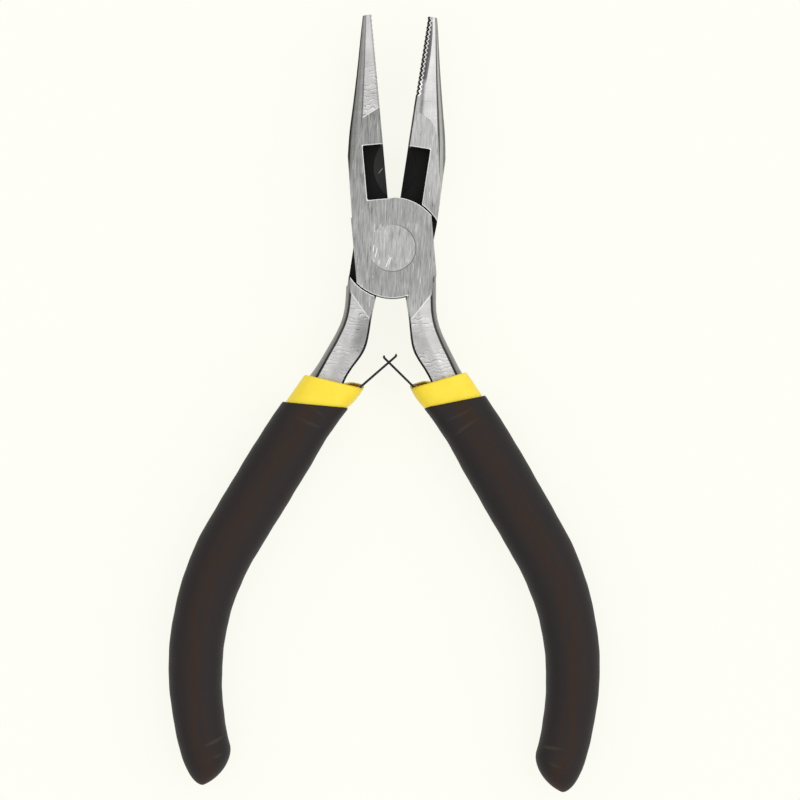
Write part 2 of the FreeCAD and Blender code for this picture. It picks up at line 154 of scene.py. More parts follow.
def read_off(rows, x):
    """Values of a table's columns at x, by a cubic that doesn't overshoot its stations."""
    x = min(max(x, rows[0][0]), rows[-1][0])
    k = 0
    while k < len(rows) - 2 and x > rows[k + 1][0]:
        k += 1
    span = rows[k + 1][0] - rows[k][0]
    t = (x - rows[k][0]) / span
    values = []
    for c in range(1, len(rows[0])):
        rise = [(b[c] - a[c]) / (b[0] - a[0]) for a, b in zip(rows, rows[1:])]
        slopes = []
        for j in (k, k + 1):
            before, after = rise[max(j - 1, 0)], rise[min(j, len(rise) - 1)]
            slopes.append(0 if before * after <= 0 else 2 * before * after / (before + after))
        start, end = rows[k][c], rows[k + 1][c]
        values.append(start * (1 + 2 * t) * (1 - t) ** 2 + end * t * t * (3 - 2 * t)
                      + span * (slopes[0] * t * (1 - t) ** 2 - slopes[1] * t * t * (1 - t)))
    return values


def handle_station(s, splay):
    """Point on the handle's centreline and the unit vector across it, outward."""
    lean = HANDLE_LEAN
    straight = min(s, HANDLE_STRAIGHT)
    x = HANDLE_START[0] + math.sin(lean) * straight
    y = HANDLE_START[1] - math.cos(lean) * straight
    if s > HANDLE_STRAIGHT:
        turned = lean - (s - HANDLE_STRAIGHT) / HANDLE_ARC_R
        x += HANDLE_ARC_R * (math.cos(turned) - math.cos(lean))
        y -= HANDLE_ARC_R * (math.sin(lean) - math.sin(turned))
        lean = turned
    c, n = math.cos(splay), math.sin(splay)
    dx, dy = x - SPLAY_POINT[0], y - SPLAY_POINT[1]
    point = (SPLAY_POINT[0] + c * dx - n * dy, SPLAY_POINT[1] + n * dx + c * dy)
    lean += splay
    return point, (math.cos(lean), math.sin(lean))


def smooth(t):
    """0 up to t = 0, 1 from t = 1, smooth between."""
    t = min(max(t, 0.0), 1.0)
    return t * t * (3 - 2 * t)


def mesh_object(name, points, faces, attributes=None):
    """Smooth-shaded mesh object with optional per-point numbers."""
    mesh = bpy.data.meshes.new(name)
    mesh.from_pydata([tuple(p) for p in points], [], faces)
    mesh.validate()
    for key, values in (attributes or {}).items():
        layer = mesh.attributes.new(key, "FLOAT", "POINT")
        layer.data.foreach_set("value", values)
    mesh.shade_smooth()
    mesh.update()
    obj = bpy.data.objects.new(name, mesh)
    bpy.context.scene.collection.objects.link(obj)
    return obj


def tube_faces(rings, around):
    """Quads between successive closed rings of the same count."""
    faces = []
    for r in range(rings - 1):
        for k in range(around):
            n = (k + 1) % around
            faces.append((r * around + k, r * around + n, (r + 1) * around + n, (r + 1) * around + k))
    return faces


def recalc_outward(obj):
    """Turns every face of a closed mesh outward."""
    work = bmesh.new()
    work.from_mesh(obj.data)
    bmesh.ops.recalc_face_normals(work, faces=work.faces)
    work.to_mesh(obj.data)
    work.free()


# ---------------------------------------------------------------- dipped handles

ANGLES = [2 * math.pi * k / AROUND for k in range(AROUND)]


def squared(angle, power):
    """Cosine and sine of an angle, pushed out towards the corners of a square."""
    c, n = math.cos(angle), math.sin(angle)
    return math.copysign(abs(c) ** power, c), math.copysign(abs(n) ** power, n)


def section_point(rows, s, angle, inset, scale=1.0, skew=0.0):
    """Point of the handle's outline at station s and an angle round it, and its share across."""
    outer, inner, half = read_off(rows, s)
    u, w = squared(angle, read_off(SQUARENESS, s)[0])
    outer = (outer - inset) * scale + skew
    inner = (inner - inset) * scale - skew
    return (outer - inner) / 2 + (outer + inner) / 2 * u, (half - inset) * scale * w, u


def handle_point(rows, s, angle, inset, splay, scale=1.0, skew=0.0, along=0.0):
    """Point of the handle's surface in the half's closed frame; along moves it on from its station."""
    (x, y), (ax, ay) = handle_station(s + along, splay)
    across, z, _ = section_point(rows, s, angle, inset, scale, skew)
    return x + ax * across, y + ay * across, z


def dip_station(rows, angle, inset, splay, line, rise=None):
    """Station at which the outline crosses the dip level, for one angle round the handle."""
    (x0, y0), (x1, y1) = line
    low, high = rows[0][0] - 1.5, 4.0
    for _ in range(34):
        middle = (low + high) / 2
        x, y, z = handle_point(rows, middle, angle, inset, splay)
        level = y0 + (y1 - y0) / (x1 - x0) * (x - x0) + (rise(x, z) if rise else 0.0)
        if y > level:
            low = middle
        else:
            high = middle
    return (low + high) / 2


def dip_ring(rows, top, drop, inset, splay):
    """Ring at a fixed distance below the dip level."""
    return [handle_point(rows, start + drop, angle, inset, splay) for angle, start in zip(ANGLES, top)]


def grip_ripple(s, angle):
    """Slow unevenness of the dipped coat, in mm."""
    wave = 0.035 * math.sin(0.31 * s + 2.0 * math.sin(angle) + 0.7)
    wave += 0.022 * math.sin(0.83 * s - 1.3 * math.cos(angle) + 2.1)
    wave += 0.012 * math.sin(1.9 * s + 3.0 * math.sin(angle + 0.4))
    return wave


def crease_depth(s, angle):
    """Depth of the few creases the dark coat has near its ends, the same on its front and its back."""
    depth = 0.0
    for at, centre, slant, reach, deep in CREASES:
        for side in (1, -1):
            off = math.remainder(angle - side * centre, 2 * math.pi)
            if abs(off) < reach:
                gap = s - at - slant * off * CREASE_SWEEP
                depth += deep * math.exp(-(gap / CREASE_WIDTH) ** 2) * (1 - (off / reach) ** 2) ** 2
    return depth


def coat_rings(rows, line, inset, splay, step, rise=None, ripple=0.0):
    """Rings of a dipped coat from its dip level to the closed end, and for each point its share across,
    its station and the crease depth there."""
    top = [dip_station(rows, angle, inset, splay, line, rise) for angle in ANGLES]
    last = rows[-1][0]
    count = max(8, round((last - min(top)) / step))
    rings, marks = [], []
    for r in range(count + 1):
        ring, mark = [], []
        for angle, start in zip(ANGLES, top):
            s = start + (last - start) * r / count
            crease = crease_depth(s, angle)
            uneven = ripple * (grip_ripple(s, angle) - crease) * smooth((s - start) / 3)
            ring.append(handle_point(rows, s, angle, inset - uneven, splay))
            mark.append((section_point(rows, s, angle, inset)[2], s, crease))
        rings.append(ring)
        marks.append(mark)
    for r in range(1, END_RINGS + 1):
        turn = math.radians(90 * (1 - (1 - r / (END_RINGS + 0.6)) ** 1.35))
        c = math.cos(turn)
        past = (GRIP_END - inset) * math.sin(turn)
        skew = GRIP_END_SKEW * (1 - c)
        ring, mark = [], []
        for angle in ANGLES:
            crease = crease_depth(last + past, angle)
            uneven = ripple * (grip_ripple(last + past, angle) * c - crease)
            ring.append(handle_point(rows, last, angle, inset - uneven, splay, c, skew, past))
            mark.append((section_point(rows, last, angle, inset)[2] * c, last + past, crease))
        rings.append(ring)
        marks.append(mark)
    return rings, marks, top


def column(marks, c, lead):
    """One number of every point, ring by ring; the rings before the coat's own repeat its first."""
    rings = [[mark[c] for mark in ring] for ring in marks]
    return [rings[0]] * lead + rings


def build_tube(name, kind, rings, values):
    """Closed tube over rings of closed-frame points; both ends are shut with a fan."""
    points, numbers = [], {key: [] for key in values}
    for r, ring in enumerate(rings):
        for k, p in enumerate(ring):
            points.append(place(kind, *p))
            for key in values:
                numbers[key].append(values[key][r][k])
    faces = tube_faces(len(rings), AROUND)
    for r in (0, len(rings) - 1):
        ring = points[r * AROUND:(r + 1) * AROUND]
        hub = len(points)
        points.append(sum(ring, Vector()) / AROUND)
        for key in values:
            numbers[key].append(sum(values[key][r]) / AROUND)
        faces += [(r * AROUND + k, r * AROUND + (k + 1) % AROUND, hub) for k in range(AROUND)]
    obj = mesh_object(name, points, faces, numbers)
    recalc_outward(obj)
    return obj


def grip(kind):
    """Dark outer coat: a shell with a rounded top edge over the yellow one."""
    splay = SPLAY[kind]
    inside = GRIP_COAT + COAT_GAP
    outer, marks, top = coat_rings(GRIP, COAT_TOP[kind], 0.0, splay, GRIP_STEP, ripple=1.0)
    outer[0] = dip_ring(GRIP, top, COAT_EDGE, 0.0, splay)
    rim = [dip_ring(GRIP, top, drop, inset, splay) for inset, drop in GRIP_RIM]
    inner_end = coat_rings(GRIP, COAT_TOP[kind], inside, splay, 4.0)[0][-END_RINGS:]
    end_start = [handle_point(GRIP, GRIP[-1][0], angle, inside, splay) for angle in ANGLES]
    hidden = []
    for s in range(50, -6, -7):
        hidden.append([handle_point(GRIP, max(s, start + 2.2), angle, inside, splay)
                       for angle, start in zip(ANGLES, top)])
    rings = inner_end[::-1] + [end_start] + hidden + rim + outer
    lead = len(rings) - len(outer)
    crease = [[0.0] * AROUND] * lead + column(marks, 2, 0)
    return build_tube(KINDS[kind] + "_grip_coat", kind, rings,
                      {"across": column(marks, 0, lead), "along": column(marks, 1, lead), "crease": crease})


def sleeve_rows():
    """Stations of the yellow coat: its collar, then the dark coat's table less that coat."""
    return COLLAR + [(s, o - GRIP_COAT, i - GRIP_COAT, h - GRIP_COAT) for s, o, i, h in GRIP[2:]]


def hole_point(rows, s, angle, grow, splay):
    """Outline of the collar's mouth: it hugs the tang and opens round the leaf spring."""
    inner = read_off(rows, s)[1]
    (x, y), (ax, ay) = handle_station(s, splay)
    left, right = -(inner - HOLE_WALL) - grow, HOLE_OUTER_SIDE
    u, w = squared(angle, HOLE_SQUARENESS)
    across = (left + right) / 2 + (right - left) / 2 * u
    return x + ax * across, y + ay * across, (HOLE_HALF + grow) * w


def collar(kind):
    """Yellow inner coat: its collar, the mouth round the spring, and the part inside the dark coat."""
    splay = SPLAY[kind]
    rows = sleeve_rows()

    def rise(x, z):
        """How much higher the coat stands beside the spring, at the back."""
        inward = smooth((5.2 - x) / 2.6)
        back = smooth(0.5 - z * MIRROR[kind] / 5.0)
        return 0.62 * inward * back - 0.05

    outer, marks, top = coat_rings(rows, COLLAR_TOP[kind], 0.0, splay, COLLAR_STEP, rise)
    outer[0] = dip_ring(rows, top, COLLAR_EDGE, 0.0, splay)
    edge = [dip_ring(rows, top, drop, inset, splay) for inset, drop in COLLAR_RIM]

    def hole_ring(drop, grow):
        return [hole_point(rows, start + drop, angle, grow, splay) for angle, start in zip(ANGLES, top)]

    def between(share, drop):
        """Ring on the collar's end face, part of the way from its rim to the mouth."""
        rim, hole = dip_ring(rows, top, drop, 0.32, splay), hole_ring(drop, 0.12)
        return [tuple(Vector(a).lerp(Vector(b), share)) for a, b in zip(rim, hole)]

    face = [between(0.35, 0.03), between(0.7, 0.08), between(1.0, 0.16)]
    wall = [hole_ring(drop, grow) for drop, grow in MOUTH_WALL]
    rings = wall[::-1] + face[::-1] + edge[::-1] + outer
    lead = len(rings) - len(outer)
    # the mouth's wall is marked 'inside', where the yellow gets painted shade
    depths = [1.0] * len(wall) + [0.35] + [0.0] * (len(rings) - len(wall) - 1)
    inside = [[depth] * AROUND for depth in depths]
    return build_tube(KINDS[kind] + "_collar", kind, rings,
                      {"inside": inside, "across": column(marks, 0, lead)})


# ---------------------------------------------------------------- leaf springs

def leaf_point(along, across=0.0):
    """Point at a distance along the leaf's line and a distance to its side."""
    x = LEAF_ROOT[0] - math.sin(LEAF_LEAN) * along + math.cos(LEAF_LEAN) * across
    y = LEAF_ROOT[1] + math.cos(LEAF_LEAN) * along + math.sin(LEAF_LEAN) * across
    return x, y


def leaf_path(kind):
    """Stations along the leaf with the distance along it, ending in the small bent tip."""
    end = LEAF_LENGTH[kind] - 0.45
    stops = [-LEAF_FOOT + LEAF_STEP * k for k in range(int((end + LEAF_FOOT) / LEAF_STEP) + 1)]
    stops += [WINDOW[0], WINDOW[1]] if kind == "front" else [TONGUE[0]]
    stops = sorted(s for s in stops if s < end - 0.1) + [end]
    path = [(s, leaf_point(s)) for s in stops]
    for k in range(1, CURL_STEPS + 1):
        turn = math.radians(CURL_TURN * k)
        tip = leaf_point(end + CURL_R * math.sin(turn), CURL_R * (1 - math.cos(turn)))
        path.append((end + CURL_R * turn, tip))
    return path


def thickened(obj):
    """Mesh of a flat sheet given the leaf's thickness and rounded edges, with its loose points removed."""
    thick = obj.modifiers.new("thickness", "SOLIDIFY")
    thick.thickness = LEAF_THICKNESS * MM
    thick.offset = 0
    soft = obj.modifiers.new("edges", "BEVEL")
    soft.width = LEAF_EDGE_R * MM
    soft.segments = 2
    soft.limit_method = "ANGLE"
    soft.angle_limit = math.radians(50)
    graph = bpy.context.evaluated_depsgraph_get()
    mesh = bpy.data.meshes.new_from_object(obj.evaluated_get(graph))
    obj.modifiers.clear()
    work = bmesh.new()
    work.from_mesh(mesh)
    loose = [v for v in work.verts if not v.link_faces]
    bmesh.ops.delete(work, geom=loose, context="VERTS")
    work.to_mesh(mesh)
    work.free()
    mesh.shade_smooth()
    mesh.set_sharp_from_angle(angle=math.radians(40))
    return mesh


def leaf_spring(kind):
    """Leaf of spring steel; one has a window, the other the tongue that goes through it."""
    path = leaf_path(kind)
    upper = [0.5, TONGUE[1], WINDOW[2], 2.1, LEAF_HALF_WIDTH]
    levels = [-z for z in reversed(upper)] + [0.0] + upper
    tip = path[-1][0]
    points, faces = [], []
    for s, (x, y) in path:
        corner = min(1.0, max(0.0, (tip - s) / LEAF_TIP[0]))
        narrow = LEAF_TIP[1] + (1 - LEAF_TIP[1]) * math.sqrt(1 - (1 - corner) ** 2)
        for z in levels:
            points.append(place(kind, x, y, z * narrow))
    count = len(levels)
    for k in range(len(path) - 1):
        middle = (path[k][0] + path[k + 1][0]) / 2
        for j in range(count - 1):
            off_middle = abs(levels[j] + levels[j + 1]) / 2
            if kind == "front" and WINDOW[0] < middle < WINDOW[1] and off_middle < WINDOW[2]:
                continue
            if kind == "rear" and middle > TONGUE[0] and off_middle > TONGUE[1]:
                continue
            faces.append((k * count + j, k * count + j + 1,
                          (k + 1) * count + j + 1, (k + 1) * count + j))
    obj = mesh_object(KINDS[kind] + "_spring_leaf", points, faces)
    obj.data = thickened(obj)
    return obj


# ---------------------------------------------------------------- materials

def linear_channel(v):
    return v / 12.92 if v <= 0.04045 else ((v + 0.055) / 1.055) ** 2.4


def linear(r, g, b):
    """Linear colour from an 8-bit display colour."""
    return linear_channel(r / 255), linear_channel(g / 255), linear_channel(b / 255), 1.0


RING_GREY = linear(60, 60, 60)          # line round the rivet's head


class Graph:
    """A node material written as short expressions."""

    def __init__(self, name):
        self.material = bpy.data.materials.new(name)
        self.material.use_nodes = True
        self.tree = self.material.node_tree
        self.tree.nodes.clear()
        self.coordinates = self.node("TexCoord")
        self.geometry = self.node("NewGeometry")

    def node(self, kind, inputs=None, **settings):
        made = self.tree.nodes.new("ShaderNode" + kind)
        for key, value in settings.items():
            setattr(made, key, value)
        for key, value in (inputs or {}).items():
            self.feed(made.inputs[key], value)
        return made

    def feed(self, socket, value):
        if isinstance(value, bpy.types.NodeSocket):
            self.tree.links.new(value, socket)
        else:
            socket.default_value = value

    def in_mm(self):
        """Position at rest, in mm."""
        return self.scaled(self.coordinates.outputs["Object"], (1000.0, 1000.0, 1000.0))

    def math(self, operation, a, b=0.0):
        made = self.node("Math", operation=operation)
        self.feed(made.inputs[0], a)
        self.feed(made.inputs[1], b)
        return made.outputs[0]

    def times(self, *values):
        result = values[0]
        for value in values[1:]:
            result = self.math("MULTIPLY", result, value)
        return result

    def plus(self, *values):
        result = values[0]
        for value in values[1:]:
            result = self.math("ADD", result, value)
        return result

    def minus(self, a, b):
        return self.math("SUBTRACT", a, b)

    def swing(self, value, reach):
        """Value's departure from its middle, 0.5, times reach."""
        return self.times(self.minus(value, 0.5), reach)

    def either(self, *values):
        result = values[0]
        for value in values[1:]:
            result = self.math("MAXIMUM", result, value)
        return result

    def size(self, a):
        return self.math("ABSOLUTE", a)

    def ramp(self, value, low, high):
        """0 below low, 1 above high, smooth between; low and high may be the other way round."""
        made = self.node("MapRange", {"Value": value, "From Min": low, "From Max": high},
                         interpolation_type="SMOOTHSTEP")
        return made.outputs["Result"]

    def near(self, value, centre, reach, soft):
        """1 within reach of centre, fading over soft."""
        gap = self.size(self.minus(value, centre))
        return self.ramp(gap, reach + soft, reach)

    def within(self, value, low, high, soft=0.03):
        return self.times(self.ramp(value, low - soft, low), self.ramp(value, high + soft, high))

    def lerp(self, share, a, b):
        made = self.node("Mix", {"Factor": share, "A": a, "B": b}, data_type="FLOAT")
        return made.outputs["Result"]

    def blend(self, share, a, b):
        made = self.node("Mix", data_type="RGBA")
        self.feed(made.inputs["Factor"], share)
        self.feed(made.inputs[6], a)
        self.feed(made.inputs[7], b)
        return made.outputs[2]

    def scaled(self, vector, factors):
        made = self.node("VectorMath", operation="MULTIPLY")
        self.feed(made.inputs[0], vector)
        made.inputs[1].default_value = factors
        return made.outputs[0]

    def noise(self, vector, scale, detail=3.0, rough=0.5):
        made = self.node("TexNoise", {"Vector": vector, "Scale": scale, "Detail": detail, "Roughness": rough})
        return made.outputs[0]

    def curve(self, value, low, high, points):
        """Piecewise smooth function of value through points, all inside low..high."""
        share = self.node("MapRange", {"Value": value, "From Min": low, "From Max": high})
        made = self.node("FloatCurve", {"Value": share.outputs["Result"]})
        line = made.mapping.curves[0]
        top = max(v for _, v in points)
        made.mapping.use_clip = True
        spots = [((x - low) / (high - low), v / top) for x, v in points]
        line.points[0].location = spots[0]
        line.points[-1].location = spots[-1]
        for spot in spots[1:-1]:
            line.points.new(*spot)
        made.mapping.update()
        return self.times(made.outputs[0], top)

    def bump(self, height, distance, normal=None):
        made = self.node("Bump", {"Height": height, "Distance": distance, "Strength": 1.0})
        if normal is not None:
            self.feed(made.inputs["Normal"], normal)
        return made.outputs[0]

    def closed_frame(self, kind):
        """Position in the half's closed frame, in mm, and the surface normal there."""
        moved = self.node("VectorMath", operation="SUBTRACT")
        self.feed(moved.inputs[0], self.coordinates.outputs["Object"])
        moved.inputs[1].default_value = PIVOT
        results = []
        for source, scale in ((moved.outputs[0], 1000.0), (self.rest_normal(), 1.0)):
            turned = self.node("VectorRotate", {"Vector": source, "Angle": -TURN[kind]},
                               rotation_type="Z_AXIS")
            side = MIRROR[kind] * scale
            results.append(self.scaled(turned.outputs[0], (side, scale, side)))
        return results

    def rest_normal(self):
        made = self.node("VectorTransform", {"Vector": self.geometry.outputs["True Normal"]},
                         vector_type="NORMAL", convert_from="WORLD", convert_to="OBJECT")
        return made.outputs[0]

    def grey(self, tone, red, green, blue):
        """Near-grey colour of the given tone, with a slight tint."""
        made = self.node("CombineColor", {"Red": self.times(tone, red), "Green": self.times(tone, green),
                                          "Blue": self.times(tone, blue)})
        return made.outputs[0]

    def split(self, vector):
        made = self.node("SeparateXYZ", {"Vector": vector})
        return made.outputs[0], made.outputs[1], made.outputs[2]

    def surface(self, colour, roughness, normal, metallic=0.0, **constants):
        shader = self.node("BsdfPrincipled")
        self.feed(shader.inputs["Base Color"], colour)
        self.feed(shader.inputs["Roughness"], roughness)
        self.feed(shader.inputs["Metallic"], metallic)
        self.feed(shader.inputs["Normal"], normal)
        for key, value in constants.items():
            shader.inputs[key.replace("_", " ")].default_value = value
        out = self.node("OutputMaterial")
        self.tree.links.new(shader.outputs[0], out.inputs["Surface"])
        return self.material


def brushed(g, position):
    """Grinding lines along the tool: fine lines, broad bands and a few deep scratches, all 0 to 1."""
    fine = g.noise(g.scaled(position, (6.5, 0.45, 2.0)), 1.0, 4.0, 0.6)
    broad = g.noise(g.scaled(position, (1.1, 0.28, 1.0)), 1.0, 2.0, 0.5)
    sparse = g.noise(g.scaled(position, (4.2, 0.34, 1.0)), 1.0, 1.0, 0.4)
    patch = g.noise(position, 0.35, 2.0, 0.5)
    deep = g.times(g.ramp(sparse, 0.63, 0.70), g.ramp(patch, 0.40, 0.58))
    dark = g.times(g.ramp(sparse, 0.37, 0.30), g.ramp(patch, 0.60, 0.42))
    return fine, broad, deep, dark


def edge_wear_and_highlight(g, reach):
    """1 where the surface turns within reach, found from the rounded normal."""
    rounded = g.node("Bevel", {"Radius": reach * MM}, samples=6)
    product = g.node("VectorMath", operation="DOT_PRODUCT")
    g.feed(product.inputs[0], rounded.outputs[0])
    g.feed(product.inputs[1], g.geometry.outputs["Normal"])
    return g.ramp(product.outputs["Value"], 0.995, 0.9), rounded.outputs[0]


class Zones:
    """Where a point of one half is: its place in the closed frame, and 0 to 1 for each area it may be in."""

    def __init__(self, g, kind):
        self.position, normal = g.closed_frame(kind)
        self.x, self.y, z = g.split(self.position)
        self.nx, _, self.nz = g.split(normal)
        self.height = g.size(z)
        self.level = g.size(self.nz)
        self.is_front = g.ramp(z, -0.05, 0.05)
        self.is_back = g.minus(1.0, self.is_front)
        self.raised = g.ramp(self.height, FACE_Z - 0.008, FACE_Z - 0.03)     # 1 below the ground planes
        self.ground = g.times(g.ramp(self.height, FACE_Z - 0.03, FACE_Z - 0.008),
                              g.ramp(self.level, 0.98, 0.998))
        self.nose = g.ramp(self.y, 9.0, 10.0)
        self.tang = g.ramp(self.y, -3.0, -4.0)
        self.radius = g.math("SQRT", g.plus(g.times(self.x, self.x), g.times(self.y, self.y)))
        # share of the jaw's width, from its inner edge, and distance past the tang's groove
        width = g.curve(self.y, 5.0, 38.0, [(5.0, 7.6)] + NOSE_WIDTHS + [(38.0, 1.3)])
        self.share = g.math("DIVIDE", g.times(self.x, -1.0), g.times(width, JAW_FULLNESS[kind]))
        self.past_groove = g.minus(self.x, g.curve(self.y, -24.0, -4.0, GROOVE))
        self.mottled = g.noise(self.position, 0.8, 4.0, 0.6)
        self.cloud = g.noise(self.position, 0.3, 2.0, 0.5)
        self.speck = g.noise(self.position, 6.0, 2.0, 0.5)


def ground_tone(g, f, kind, fine, broad, deep, dark_lines):
    """Grey of the faces ground flat, which differs a little on the jaw and on the tang."""
    jaw, tang = GROUND_SHADES[kind]
    return g.plus(g.swing(fine, 0.52), g.swing(broad, 0.18), g.times(deep, 0.22), g.times(dark_lines, -0.15),
                  g.times(g.ramp(f.y, 6.0, 13.0), jaw), g.times(g.ramp(f.y, -7.4, -10.0), tang), 0.355)


def wrinkles(g, f):
    """Folds that run across the forging: the painted highlight along their crests, the painted shade just
    past each crest, and their height.
    """
    fold = g.node("TexWave", {"Vector": f.position, "Scale": 0.314 / WRINKLE_SPACING, "Distortion": 10.0,
                              "Detail": 3.0, "Detail Scale": 1.1, "Detail Roughness": 0.58},
                  wave_type="BANDS", bands_direction="Y", wave_profile="SAW").outputs["Fac"]
    broken = g.ramp(g.noise(f.position, 0.95, 2.0), 0.36, 0.52)
    # painted shade just past each crest's drop, and a painted highlight along the crest
    fold_shade = g.times(g.ramp(fold, 0.17, 0.03), broken)
    fold_highlight = g.times(g.ramp(fold, 0.62, 0.96), g.ramp(fold, 1.0, 0.97), broken)
    on_nose = g.times(g.ramp(f.y, 32.0, 26.0), g.ramp(f.y, 12.0, 16.0), f.nose, g.lerp(f.is_front, 0.14, 1.0))
    on_tang = g.times(g.ramp(f.y, -7.0, -9.0), g.ramp(f.cloud, 0.42, 0.56), 0.75)
    zone = g.either(on_nose, on_tang)
    return g.times(fold_highlight, zone), g.times(fold_shade, zone), g.times(fold, zone, broken)


def skin_tone(g, f, kind, fold_highlight, fold_shade):
    """Grey of the raw forged skin: soft mottling, some parts duller or brighter, the folds' painted highlight
    and shade, and painted light on the back jaw's outer facet towards the tip.
    """
    # the tone adds the folds' painted highlight and painted shade
    tone = g.plus(0.62, g.swing(f.mottled, 0.26), g.swing(f.cloud, 0.26), g.swing(f.speck, 0.10),
                  g.times(fold_highlight, 0.26), g.times(fold_shade, -0.34), g.times(f.tang, -0.045),
                  g.times(f.nose, f.is_front, -0.04))
    dull = g.times(f.tang, g.ramp(f.past_groove, -1.5, -2.3), TANG_DULL[kind])
    # a darker patch on the tang's inner side
    dark_patch = g.times(f.tang, g.within(f.y, -16.5, -12.0, 1.6), g.ramp(f.x, 4.6, 3.2), TANG_DARK_PATCH[kind])
    # painted light: the back jaw's outer facet is brightened towards the tip
    painted_lit_facet = g.times(f.nose, f.is_back, g.ramp(f.share, 0.22, 0.32), g.ramp(f.y, 23.0, 32.0), 0.11)
    inner_strip = g.times(f.nose, f.is_back, g.ramp(f.y, 17.0, 21.0),
                          g.plus(g.times(g.ramp(f.share, 0.33, 0.26), -0.20),
                                 g.times(g.near(f.share, 0.27, 0.02, 0.1), -0.18)))
    return g.plus(tone, dull, dark_patch, painted_lit_facet, inner_strip)


def with_shaded_bands(g, f, skin):
    """The skin with darker stepped bands along the outside of the jaw and of the tang: partly a duller forged
    skin, partly painted shade, darkest towards the jaw's outer edge and beside the tang's groove.
    """
    front_band = g.times(f.nose, f.is_front, g.ramp(f.share, 0.61, 0.66))
    back_band = g.times(f.nose, f.is_back, g.ramp(f.share, 0.80, 0.84))
    tang_band = g.times(f.tang, g.ramp(f.past_groove, 0.02, 0.14))
    # painted shade: the front band darkens towards the jaw's outer edge
    skin = g.lerp(front_band, skin, g.plus(0.50, g.swing(f.mottled, 0.22),
                                           g.times(g.ramp(f.share, 0.70, 0.94), -0.33)))
    skin = g.lerp(back_band, skin, g.plus(0.46, g.swing(f.mottled, 0.2)))
    # painted shade: the tang band darkens beside its groove
    return g.lerp(tang_band, skin, g.plus(0.34, g.swing(f.mottled, 0.12),
                                          g.times(g.ramp(f.past_groove, 1.3, 0.1), -0.17)))


def painted_side_shade(g, f):
    """Painted shade: 1 on the steep sides painted near-black to outline the tool: the tang's inner wall and
    the jaw's outer edge.
    """
    wall = g.times(f.tang, g.ramp(f.level, 0.5, 0.25), g.ramp(f.nx, 0.2, -0.2), g.ramp(f.y, -10.0, -12.5))
    edge = g.times(f.nose, f.raised, g.ramp(f.share, 0.905, 0.955), g.lerp(f.is_front, 0.6, 1.0))
    return g.either(wall, edge)


def step_shade_lines(g, f):
    """Painted shade: dark lines in the steps beside the bands."""
    front = g.times(g.near(f.share, FRONT_STEP, 0.012, 0.03), f.nose, f.is_front, 0.62)
    back = g.times(g.near(f.share, BACK_STEP, 0.022, 0.018), f.nose, f.is_back)
    tang = g.times(g.near(f.past_groove, 0.05, 0.13, 0.14), g.ramp(f.y, -7.0, -8.5))
    return g.times(g.either(front, back, tang), f.raised)


def pocket_area(g, f, grow, grow_low, soft):
    """1 over the recesses beside the blade, each grown by the given widths."""
    areas = []
    for side, here in (("front", f.is_front), ("back", f.is_back)):
        deep_x, low_y, top_y = POCKET[side]
        areas.append(g.times(here, g.within(f.x, -deep_x - grow, 0.4, soft),
                             g.within(f.y, low_y - grow_low, top_y + grow, soft)))
    return g.either(*areas)


def oxide_look(g, f):
    """Where black oxide is left (recesses, lap faces and shoulders' walls), and its colour."""
    pocket = g.times(pocket_area(g, f, 0.02, 0.04, 0.02), f.raised)
    lap = g.times(g.ramp(f.height, 0.2, 0.1), g.ramp(f.level, 0.8, 0.95))
    shoulder = g.times(g.ramp(f.level, 0.4, 0.2), g.within(f.radius, 7.8, 8.5, 0.02),
                       g.ramp(g.size(f.x), 6.3, 6.1), f.raised)
    bevel = g.times(pocket, g.within(f.level, 0.55, 0.97, 0.02), g.lerp(f.is_front, 0.25, 1.0))
    scar = g.times(bevel, g.ramp(g.size(g.plus(g.times(f.x, 0.75), g.times(f.y, -0.66), 8.9)), 0.09, 0.02),
                   g.ramp(g.size(g.minus(f.y, 12.6)), 0.5, 0.2), f.is_front)
    tone = g.plus(0.005, g.times(f.mottled, 0.005), g.times(bevel, 0.03), g.times(scar, 0.3))
    return g.either(pocket, lap, shoulder), g.grey(tone, 1.0, 0.99, 0.97)


def toothed_edge(g, f):
    """Painted shade and highlight at the teeth: their dark outline, also on the notch floors that lie in
    shadow, and the bright line behind it.
    """
    pitches = g.math("DIVIDE", g.minus(f.y, FIRST_TOOTH), TOOTH_PITCH)
    step = g.math("FRACT", g.plus(pitches, 100.5))
    valley = g.minus(1.0, g.times(g.size(g.minus(step, 0.5)), 2.0))
    behind = g.minus(g.plus(-0.02, g.times(valley, -TOOTH_DEPTH)), f.x)
    toothed = g.times(g.ramp(f.y, FIRST_TOOTH - 0.6, FIRST_TOOTH - 0.3), f.raised)
    # painted shade: the notch floors lie in shadow and are painted dark
    notch_floor = g.times(f.is_front, g.ramp(f.nz, 0.0, -0.5))
    outline = g.times(toothed, g.either(f.is_back, notch_floor), g.ramp(behind, 0.31, 0.23))
    return outline, g.times(toothed, f.is_back, g.within(behind, 0.34, 0.50, 0.05))


def chamfer_face(g, f):
    """1 on the chamfer along the teeth."""
    width = g.curve(f.y, 26.0, 37.6, CHAMFER)
    return g.times(g.ramp(g.plus(f.x, width), -0.06, 0.06), g.ramp(f.y, 26.4, 27.8),
                   g.ramp(f.level, 0.5, 0.7), f.is_back)


